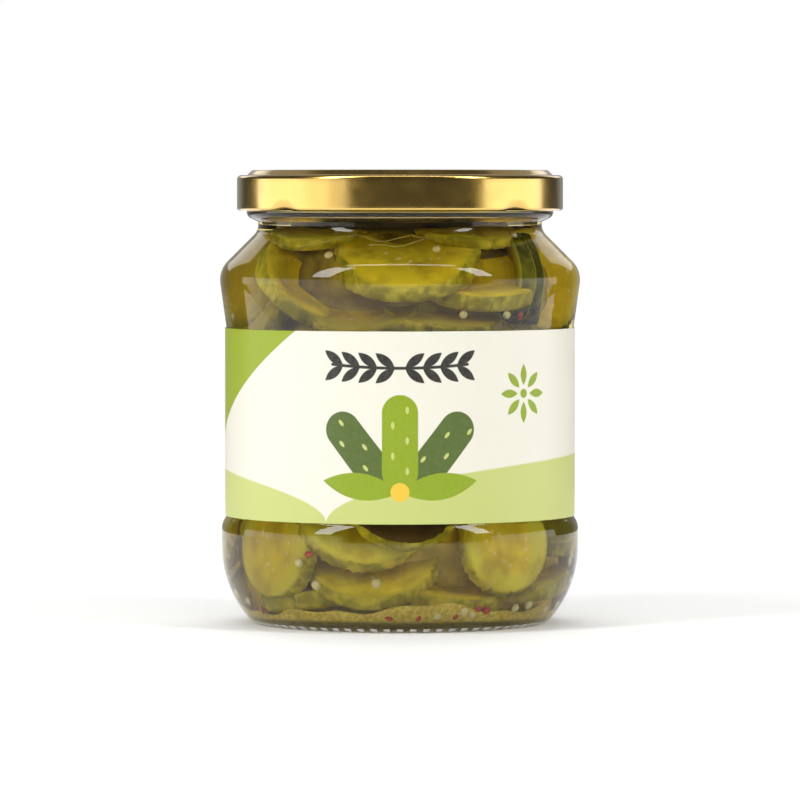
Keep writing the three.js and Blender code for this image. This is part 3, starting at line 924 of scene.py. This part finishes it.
def slice_mesh(piece, chance):
    """Vertices, faces, which faces are skin, and flat coordinates of one uneven slice."""
    angles = full_turn(SLICE_SIDES)
    outline = slice_outline(angles, chance)
    warp, lean = chance.uniform(-SLICE_WARP, SLICE_WARP, 2)
    profile = [*SLICE_PROFILE, *((share, -height) for share, height in SLICE_PROFILE[::-1])]
    rings, faces, skin = [], [], []
    for ring, (share, height) in enumerate(profile):
        bumps = 1 + SKIN_ROUGH * chance.normal(0, 1, SLICE_SIDES) * (share > SKIN_FROM)
        radii = piece.radius * share * (1 + (np.minimum(outline * bumps, 1) - 1) * share)
        x, y = radii * np.cos(angles), radii * np.sin(angles)
        sag = (warp * (x * x - y * y) + lean * x * y) / piece.radius ** 2
        rings.append(columns(x, y, SLICE_THICKNESS / 2 * height + sag))
        if ring:
            faces += band(ring * SLICE_SIDES, (ring - 1) * SLICE_SIDES, SLICE_SIDES)
            skin += [min(share, profile[ring - 1][0]) > SKIN_FROM] * SLICE_SIDES
    middle = SLICE_THICKNESS / 2 * SLICE_PROFILE[0][1]
    local = np.concatenate([*rings, [[0, 0, middle], [0, 0, -middle]]])
    last_ring, first_end = (len(profile) - 1) * SLICE_SIDES, len(profile) * SLICE_SIDES
    faces += cap(0, first_end, SLICE_SIDES)
    faces += [face[::-1] for face in cap(last_ring, first_end + 1, SLICE_SIDES)]
    skin += [False] * (2 * SLICE_SIDES)
    vertices = piece.centre + local @ np.array([piece.across, piece.up, piece.face])
    return vertices, faces, skin, local[:, :2] / piece.radius


def flesh_paint():
    paint = Paint("gherkin_flesh", Roughness=0.35, IOR=1.12, Subsurface_Weight=0.35, Subsurface_Scale=0.002,
                  Subsurface_Radius=(1.0, 0.8, 0.25))
    flat = paint.flat()
    far = paint.length(flat)
    parts = paint.parts(flat)
    turn = paint.math("ARCTAN2", parts[1], parts[0])
    lobes = paint.times(paint.math("COSINE", paint.times(turn, 3)), 0.07)
    inner = paint.math("ADD", far, lobes)
    flesh = paint.mix(paint.attribute("green"), (0.9, 0.67, 0.025, 1), (0.56, 0.62, 0.08, 1))
    heart = paint.mix(paint.noise(420, 4.0), (0.66, 0.46, 0.015, 1), (0.92, 0.74, 0.05, 1))
    colour = paint.mix(paint.ramp(inner, 0.5, 0.66), heart, flesh)
    cells = paint.node("ShaderNodeTexVoronoi", {"Vector": flat, "Scale": 8.0, "Randomness": 0.7})
    seed = paint.ramp(cells.outputs["Distance"], 0.2, 0.34, 0.6, 0.0)
    ring = paint.times(paint.ramp(inner, 0.2, 0.3), paint.ramp(inner, 0.5, 0.58, 1.0, 0.0))
    colour = paint.mix(paint.times(seed, ring), colour, (0.93, 0.84, 0.34, 1))
    patches = paint.ramp(paint.noise(130), 0.42, 0.7, 0.0, 0.65)
    colour = paint.mix(patches, colour, (0.45, 0.31, 0.012, 1))
    colour = paint.mix(paint.ramp(far, 0.84, 0.97), colour, (0.46, 0.38, 0.02, 1))
    # Darker by the slice's stored dullness: a real duller tone, and painted shade on front slices that lie
    # in shadow
    colour = paint.mix(paint.times(paint.attribute("dull"), 0.55), colour, (0.1, 0.055, 0.01, 1))
    paint.set("Base Color", colour)
    paint.bump(paint.noise(420, 4.0), 0.3, 0.0006)
    return paint


def skin_paint():
    paint = Paint("gherkin_skin", Roughness=0.3, IOR=1.12, Subsurface_Weight=0.15, Subsurface_Scale=0.001)
    mottle = paint.ramp(paint.noise(260, 4.0), 0.35, 0.7)
    pale = paint.mix(mottle, (0.29, 0.245, 0.015, 1), (0.6, 0.49, 0.035, 1))
    dark = paint.mix(mottle, (0.07, 0.07, 0.003, 1), (0.2, 0.19, 0.015, 1))
    darkness = paint.ramp(paint.attribute("green"), 0.5, 0.85)
    paint.set("Base Color", paint.mix(darkness, pale, dark))
    paint.bump(paint.noise(700), 0.35, 0.0006)
    return paint


def make_slices():
    chance = np.random.default_rng(HEAP_SEED)
    slices = place_slices()
    parts = [slice_mesh(piece, chance) for piece in slices]
    vertices, faces = joined([part[:2] for part in parts])
    slots = np.concatenate([part[2] for part in parts])
    paints = [flesh_paint(), skin_paint()]
    piece = make_piece("gherkin_slices_cut", vertices, faces, paints, slots, sharp=70)
    set_flat(piece, np.concatenate([part[3] for part in parts]))
    for name in ("green", "dull"):
        values = np.repeat([getattr(cut, name) for cut in slices], [len(part[0]) for part in parts])
        piece.data.attributes.new(name, "FLOAT", "POINT").data.foreach_set("value", values.astype(float))
    place_piece(piece, "gherkin_slices")


def core_paint():
    paint = Paint("gherkin_depths", Roughness=0.5)
    mottle = paint.ramp(paint.noise(120, 4.0), 0.35, 0.7)
    # Painted light: the core is paler below 60 mm, standing in for light from the floor under the jar; from
    # 90 mm up it takes the darker colour
    low = paint.mix(mottle, (0.48, 0.36, 0.03, 1), (0.86, 0.68, 0.08, 1))
    high = paint.mix(mottle, (0.13, 0.085, 0.004, 1), (0.4, 0.3, 0.015, 1))
    height = paint.parts(paint.place())["Z"]
    colour = paint.mix(paint.ramp(height, 0.06, 0.09), low, high)
    # Painted shade: from 100 to 106 mm it turns nearly black, for the shade under the lid
    colour = paint.mix(paint.ramp(height, 0.1, 0.106), colour, (0.05, 0.03, 0.002, 1))
    paint.set("Base Color", colour)
    paint.bump(paint.noise(200), 0.5, 0.001)
    return paint


def make_core():
    heights = np.linspace(HEAP_LOW, CORE_HIGH, CORE_RINGS)
    wall = columns(core_radius(heights), heights)
    outline = np.concatenate([points((0, HEAP_LOW)), wall, points((0, CORE_HIGH))])
    vertices, faces = turned(outline, CORE_SEGMENTS)
    azimuth, _ = polar(vertices)
    waves = np.cos(7 * azimuth + vertices[:, 2] / 4) * np.cos(vertices[:, 2] / 3.1 + 2 * azimuth)
    vertices[:, :2] *= (1 + CORE_WAVE * waves)[:, None]
    place_piece(make_piece("heap_core", vertices, faces, [core_paint()], sharp=60))


# Spices: azimuth and height of those that show at the front, the rest seeded
FRONT_SEEDS = (
    (14, 5.4), (24, 6.6), (28, 5.6), (47, 6.8), (54, 7.4), (68, 6), (-70, 8), (-30, 13), (-8, 13.8),
    (-36, 18.5), (-27, 98.3), (14, 99.9), (22, 84), (39, 83.8), (55, 103.3),
)
FRONT_PEPPER = ((21, 5.2), (30, 7), (33.5, 6.6), (7, 4.8), (45, 83.7), (-32, 20.7), (-4, 5), (-62, 6))
SEED_SHAPE = (2.4, 0.95, 0.04)  # size, height as a share of it, and unevenness
PEPPER_SHAPE = (2.4, 0.6, 0.2)
MORE_SEEDS = 46
MORE_PEPPER = 22
WALL_GAP = 0.25
SPICE_LOW = (FLOOR_EDGE + 1.5, 22)  # heights under the label
SPICE_HIGH = (80, 104)  # and over it
SPICE_LOW_SHARE = 0.65
SPICE_AZIMUTHS = (75, 285)  # where seeded ones lie
SPICE_SIZES = (0.85, 1.1)
SPICE_SWELL = 2.2  # how often the unevenness comes and goes across a grain
SPICE_RINGS = 8
SPICE_SIDES = 12
SPICE_SEED = 23


def ball(chance, size, flatten, uneven):
    """A small uneven ball about the origin."""
    angles = (np.pi * np.arange(SPICE_RINGS + 1) / SPICE_RINGS)[::-1]
    outline = columns(np.sin(angles), np.cos(angles)) * size / 2
    vertices, faces = turned(outline, SPICE_SIDES)
    ways = chance.normal(0, 1, (3, 3))
    swell = sum(np.cos(vertices @ way * SPICE_SWELL / size + 1) for way in ways) / 3
    vertices *= (1 + uneven * swell)[:, None] * np.array([1, 1, flatten])
    turn, _ = np.linalg.qr(chance.normal(0, 1, (3, 3)))
    if np.linalg.det(turn) < 0:
        turn[:, 0] *= -1
    return vertices @ turn.T, faces


def spice_places(chance, front, more):
    """Azimuth and height of each grain: the front's, then seeded ones, most near the floor."""
    low = chance.uniform(*SPICE_LOW, more)
    high = chance.uniform(*SPICE_HIGH, more)
    heights = np.where(chance.uniform(0, 1, more) < SPICE_LOW_SHARE, low, high)
    azimuths = chance.uniform(*SPICE_AZIMUTHS, more)
    return [*front, *zip(azimuths, heights)]


def make_spice(name, paint, front, more, size, flatten, uneven):
    chance = np.random.default_rng(SPICE_SEED + more)
    grains = []
    for azimuth, height in spice_places(chance, front, more):
        grain, faces = ball(chance, size * chance.uniform(*SPICE_SIZES), flatten, uneven)
        depth = inside_radius(height) - size / 2 - WALL_GAP
        grains.append((grain + heading(azimuth) * depth + np.array([0, 0, height]), faces))
    place_piece(make_piece(name, *joined(grains), [paint], sharp=80))


def seed_paint():
    return mottled("mustard_seed", 700, 3.0, linear(205, 190, 110), linear(240, 228, 165),
                   Roughness=0.4, Subsurface_Weight=0.2, Subsurface_Scale=0.001)


def pepper_paint():
    return mottled("red_pepper", 500, 3.0, linear(150, 40, 14), linear(205, 84, 36),
                   Roughness=0.35, Subsurface_Weight=0.2, Subsurface_Scale=0.001)


# Fine pulp that has settled round the edge of the floor
PULP_HIGH = 6.6
PULP_INNER_HIGH = 5.6
PULP_WAVE = 1.1
PULP_WAVES = ((3, 1, 1), (7, 0.7, 0), (17, 0.4, 2))  # count round the jar, share of the height, phase
PULP_SIDE_POINTS = 6
PULP_SLOPE = np.array([0.1, 0.3, 0.55, 0.8])  # shares of the width where the slope has points
PULP_RIPPLE = 0.3
PULP_GAP = 0.9  # to the glass
PULP_FLOOR_GAP = 0.2
PULP_WIDTH = 12
PULP_SEGMENTS = 240


def floor_height(radius):
    edge = PLAIN_INSIDE[0][0]
    return FLOOR_EDGE + (FLOOR_MIDDLE - FLOOR_EDGE) * (1 - radius / edge)


def pulp_outline(azimuth):
    """The ring of pulp cut at one azimuth, from its outer foot up, in and back along the floor."""
    waves = sum(share * math.sin(count * azimuth + phase) for count, share, phase in PULP_WAVES)
    top = PULP_HIGH + PULP_WAVE * waves
    heights = np.linspace(FLOOR_EDGE + 2 * PULP_FLOOR_GAP, top, PULP_SIDE_POINTS)
    side = columns(inside_radius(heights) - PULP_GAP, heights)
    outer = side[-1][0]
    ripple = PULP_RIPPLE * np.sin(9 * azimuth + 5 * PULP_SLOPE)
    fall = (top - PULP_INNER_HIGH) * PULP_SLOPE ** 2 - ripple
    slope = columns(outer - PULP_WIDTH * PULP_SLOPE, top - fall)
    foot = np.array([outer - PULP_WIDTH, outer - PULP_WIDTH / 3])
    return np.concatenate([side, slope, columns(foot, floor_height(foot) + PULP_FLOOR_GAP)])


def pulp_paint():
    paint = Paint("settled_pulp", Roughness=0.7, IOR=1.12, Subsurface_Weight=0.2, Subsurface_Scale=0.001)
    grains = paint.noise(900, 5.0, 0.7)
    colour = paint.mix(paint.ramp(grains, 0.35, 0.65), (0.5, 0.36, 0.04, 1), (0.86, 0.66, 0.12, 1))
    patches = paint.ramp(paint.noise(130), 0.4, 0.7, 0.0, 0.5)
    paint.set("Base Color", paint.mix(patches, colour, (0.5, 0.36, 0.05, 1)))
    paint.bump(grains, 0.6, 0.0006)
    return paint


def make_pulp():
    azimuths = full_turn(PULP_SEGMENTS)
    outlines = np.array([pulp_outline(azimuth) for azimuth in azimuths])
    rings = outlines.shape[1]
    ways = level_ways(azimuths)
    vertices = np.concatenate([columns(outlines[:, i, :1] * ways, outlines[:, i, 1]) for i in range(rings)])
    faces = []
    for i in range(rings):
        faces += band(i * PULP_SEGMENTS, (i + 1) % rings * PULP_SEGMENTS, PULP_SEGMENTS)
    place_piece(make_piece("settled_pulp", vertices, faces, [pulp_paint()], sharp=70))


# Shreds of dill in the neck: azimuths where each starts and ends, heights there, and how far it sags
SHREDS = (
    (-22, 4, 104.6, 103.4, 1.6),
    (3, 14, 103.8, 104.8, 1),
    (30, 36, 105.4, 103.2, 0.5),
    (38, 47, 104.2, 105.6, 1.2),
    (-44, -18, 99.2, 103.4, -0.8),
    (-12, 10, 101, 102.4, 0.7),
    (120, 150, 104, 103, 1.2),
    (200, 232, 103, 105, 1),
)
SHRED_WIDTH = 0.34
SHRED_GAP = 0.9  # to the glass
SHRED_CURL = (0.25, 0.5)  # up and down, and in and out
SHRED_STEPS = 24
SHRED_SIDES = 6


def shred_paint():
    return mottled("dill_shred", 300, 2.0, linear(168, 150, 60), linear(206, 190, 104), Roughness=0.4)


def shred_mesh(start, end, low, high, sag):
    """A thin wavy tube just inside the glass."""
    share = np.linspace(0, 1, SHRED_STEPS + 1)
    heights = low + (high - low) * share - sag * np.sin(np.pi * share) + SHRED_CURL[0] * np.sin(9 * share)
    depths = inside_radius(heights) - SHRED_GAP - SHRED_CURL[1] * np.sin(7 * share)
    ways = level_ways(np.radians(start + (end - start) * share))
    around = full_turn(SHRED_SIDES)
    half = SHRED_WIDTH / 2
    vertices = np.concatenate([
        columns(np.outer(depth + half * np.cos(around), way), height + half * np.sin(around))
        for depth, way, height in zip(depths, ways, heights)
    ])
    last = SHRED_STEPS * SHRED_SIDES
    faces = [list(range(SHRED_SIDES))[::-1], list(range(last, last + SHRED_SIDES))]
    for ring in range(0, last, SHRED_SIDES):
        faces += band(ring, ring + SHRED_SIDES, SHRED_SIDES)
    return vertices, faces


def make_shreds():
    vertices, faces = joined([shred_mesh(*shred) for shred in SHREDS])
    place_piece(make_piece("dill_shreds", vertices, faces, [shred_paint()], sharp=80))


# Stage, in metres and degrees
FLOOR_RADIUS = 0.66
FLOOR_SEGMENTS = 96
FLOOR_FADE = (0.08, 0.45)  # distances over which its glow grows, into the white behind
FLOOR_GLOW = (0.06, 0.2)
EYE_DISTANCE = 1.51
EYE_HEIGHT = 0.115
AIM_HEIGHT = 0.06
LENS = 252

# Lights: azimuth, distance, height of the middle, width, height and radiance
LIGHTS = {
    "left_card": (-91, 0.75, 0.091, 0.75, 0.218, 1.9),
    "left_edge": (-57, 0.75, 0.091, 0.184, 0.218, 1.6),
    "left_end": (-43, 0.75, 0.091, 0.184, 0.218, 1.1),
    "right_card": (88, 0.75, 0.091, 0.82, 0.218, 1.85),
    "left_key": (-52, 1.08, 0.92, 0.3, 1.0, 10),
    "right_key": (57, 1.08, 0.92, 0.25, 0.85, 10),
    "top_front": (0, 0.2, 1.05, 0.8, 0.12, 6),
    "back_top": (180, 0.66, 0.88, 1.2, 0.5, 0.3),
    "back_left": (-154, 1.0, 0.46, 0.34, 0.36, 1.0),
    "back_right": (154, 1.0, 0.46, 0.34, 0.36, 1.0),
}
# Broad fills that light the jar without a mirror image in it
FILLS = {
    "front_fill": (0, 1.3, 0.8, 1.2, 1.0, 1.45),
    "back_fill": (180, 0.9, 1.5, 1.6, 1.6, 2.0),
}

# Brightness of the room in front of the jar and of the wall behind it
ROOM_FRONT = 0.057
WALL_MIRRORED = 0.3
WALL_SEEN_THROUGH = 0.7
WALL_EDGE = (0.78, 0.97)  # shares of the way back where the wall starts and is full


def make_floor():
    paint = Paint("pale_floor", Roughness=0.6)
    paint.set("Base Color", paint.mix(paint.noise(3), (0.92, 0.92, 0.92, 1), (0.96, 0.96, 0.96, 1)))
    far = paint.length(paint.place())
    paint.set("Emission Color", (1, 1, 1, 1))
    paint.set("Emission Strength", paint.ramp(far, *FLOOR_FADE, *FLOOR_GLOW))
    edge = FLOOR_RADIUS * METRE * level_ways(full_turn(FLOOR_SEGMENTS))
    vertices = columns(edge, np.zeros(FLOOR_SEGMENTS))
    make_piece("floor", vertices, [list(range(FLOOR_SEGMENTS))], [paint])


def make_light(name, azimuth, distance, height, width, length, radiance, mirrored=True):
    """An area light that faces the middle of the jar."""
    light = bpy.data.lights.new(name, "AREA")
    light.shape = "RECTANGLE"
    light.size, light.size_y = width, length
    light.energy = radiance * math.pi * width * length
    lamp = bpy.data.objects.new(name, light)
    lamp.location = Vector(heading(azimuth)) * distance + Vector((0, 0, height))
    way = lamp.location - Vector((0, 0, AIM_HEIGHT))
    lamp.rotation_euler = way.to_track_quat("Z", "Y").to_euler()
    lamp.visible_camera = False
    lamp.visible_glossy = mirrored
    bpy.context.scene.collection.objects.link(lamp)


def make_world():
    """White for the camera, and for the jar a pale wall behind and a dark room in front."""
    world = bpy.data.worlds.new("studio")
    world.use_nodes = True
    nodes = Nodes(world.node_tree)
    back = nodes.parts(nodes.node("ShaderNodeTexCoord").outputs["Generated"])["Y"]
    path = nodes.node("ShaderNodeLightPath").outputs
    more = WALL_SEEN_THROUGH - WALL_MIRRORED
    wall = nodes.math("MULTIPLY_ADD", path["Is Transmission Ray"], more, WALL_MIRRORED)
    room = nodes.ramp(back, *WALL_EDGE, ROOM_FRONT, wall)
    seen = nodes.node("ShaderNodeMix", {"Factor": path["Is Camera Ray"], "A": room, "B": 1.0})
    background = world.node_tree.nodes["Background"].inputs
    nodes.feed(background["Strength"], seen.outputs[0])
    nodes.feed(background["Color"], (1, 1, 1, 1))
    bpy.context.scene.world = world


def make_camera():
    data = bpy.data.cameras.new("camera")
    data.lens = LENS
    camera = bpy.data.objects.new("camera", data)
    camera.location = (0, -EYE_DISTANCE, EYE_HEIGHT)
    aim = Vector((0, 0, AIM_HEIGHT)) - camera.location
    camera.rotation_euler = aim.to_track_quat("-Z", "Y").to_euler()
    bpy.context.scene.collection.objects.link(camera)
    bpy.context.scene.camera = camera


make_camera()
make_glass()
make_lid()
make_label()
make_slices()
make_core()
make_brine()
make_spice("mustard_seeds", seed_paint(), FRONT_SEEDS, MORE_SEEDS, *SEED_SHAPE)
make_spice("pepper_bits", pepper_paint(), FRONT_PEPPER, MORE_PEPPER, *PEPPER_SHAPE)
make_pulp()
make_shreds()
make_floor()
make_world()
for light_name, values in LIGHTS.items():
    make_light(light_name, *values)
for light_name, values in FILLS.items():
    make_light(light_name, *values, mirrored=False)
bpy.context.scene.view_settings.view_transform = "Standard"
